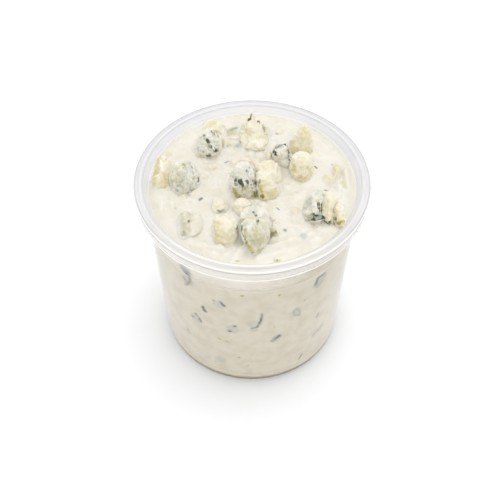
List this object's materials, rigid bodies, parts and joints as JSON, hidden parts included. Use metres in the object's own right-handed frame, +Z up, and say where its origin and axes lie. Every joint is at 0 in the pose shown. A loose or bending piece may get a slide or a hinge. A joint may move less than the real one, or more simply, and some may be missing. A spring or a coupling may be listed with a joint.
{
  "type": "tub of blue cheese dip",
  "caption": "Clear round deli tub with a rolled rim, filled with chunky blue cheese dip and topped with crumbled blue cheese.",
  "frame": {"origin": "centre of the tub's foot, on the surface it stands on", "axes": "+Z up along the tub's axis, -Y towards the side seen from the front, +X to the right"},
  "size_m": [0.1, 0.1, 0.1033],
  "materials": {
    "tub_plastic": "clear moulded polypropylene, glossy",
    "dip": "creamy, moist, softly glossy, with fine blue-green flecks",
    "pale_cheese": "ivory, rough, lightly coated with dip",
    "veined_cheese": "ivory and grey-green with dark blue-green veins, rough"
  },
  "bodies": {
    "root": {"tub": "tub_plastic", "dip": "dip", "crumble_centre_veined": "veined_cheese", "crumble_centre_ivory": "pale_cheese", "crumble_front_green": "veined_cheese", "crumble_front_shelf": "pale_cheese", "crumble_front_ivory": "pale_cheese", "crumble_left_veined": "veined_cheese", "crumble_left_wall": "pale_cheese", "crumble_back_veined": "veined_cheese", "crumble_back_cream": "pale_cheese", "crumble_back_peak": "pale_cheese", "crumble_back_small": "pale_cheese", "crumble_right_peak": "pale_cheese", "crumble_right_rough": "pale_cheese", "crumble_right_blue": "veined_cheese", "crumble_cluster_veined": "veined_cheese", "crumble_cluster_pale": "pale_cheese", "crumble_cluster_outer": "pale_cheese", "crumble_front_left_sunk": "pale_cheese", "crumble_front_nub": "pale_cheese", "crumble_middle_small": "pale_cheese", "crumble_middle_sunk": "pale_cheese"}
  },
  "joints": []
}
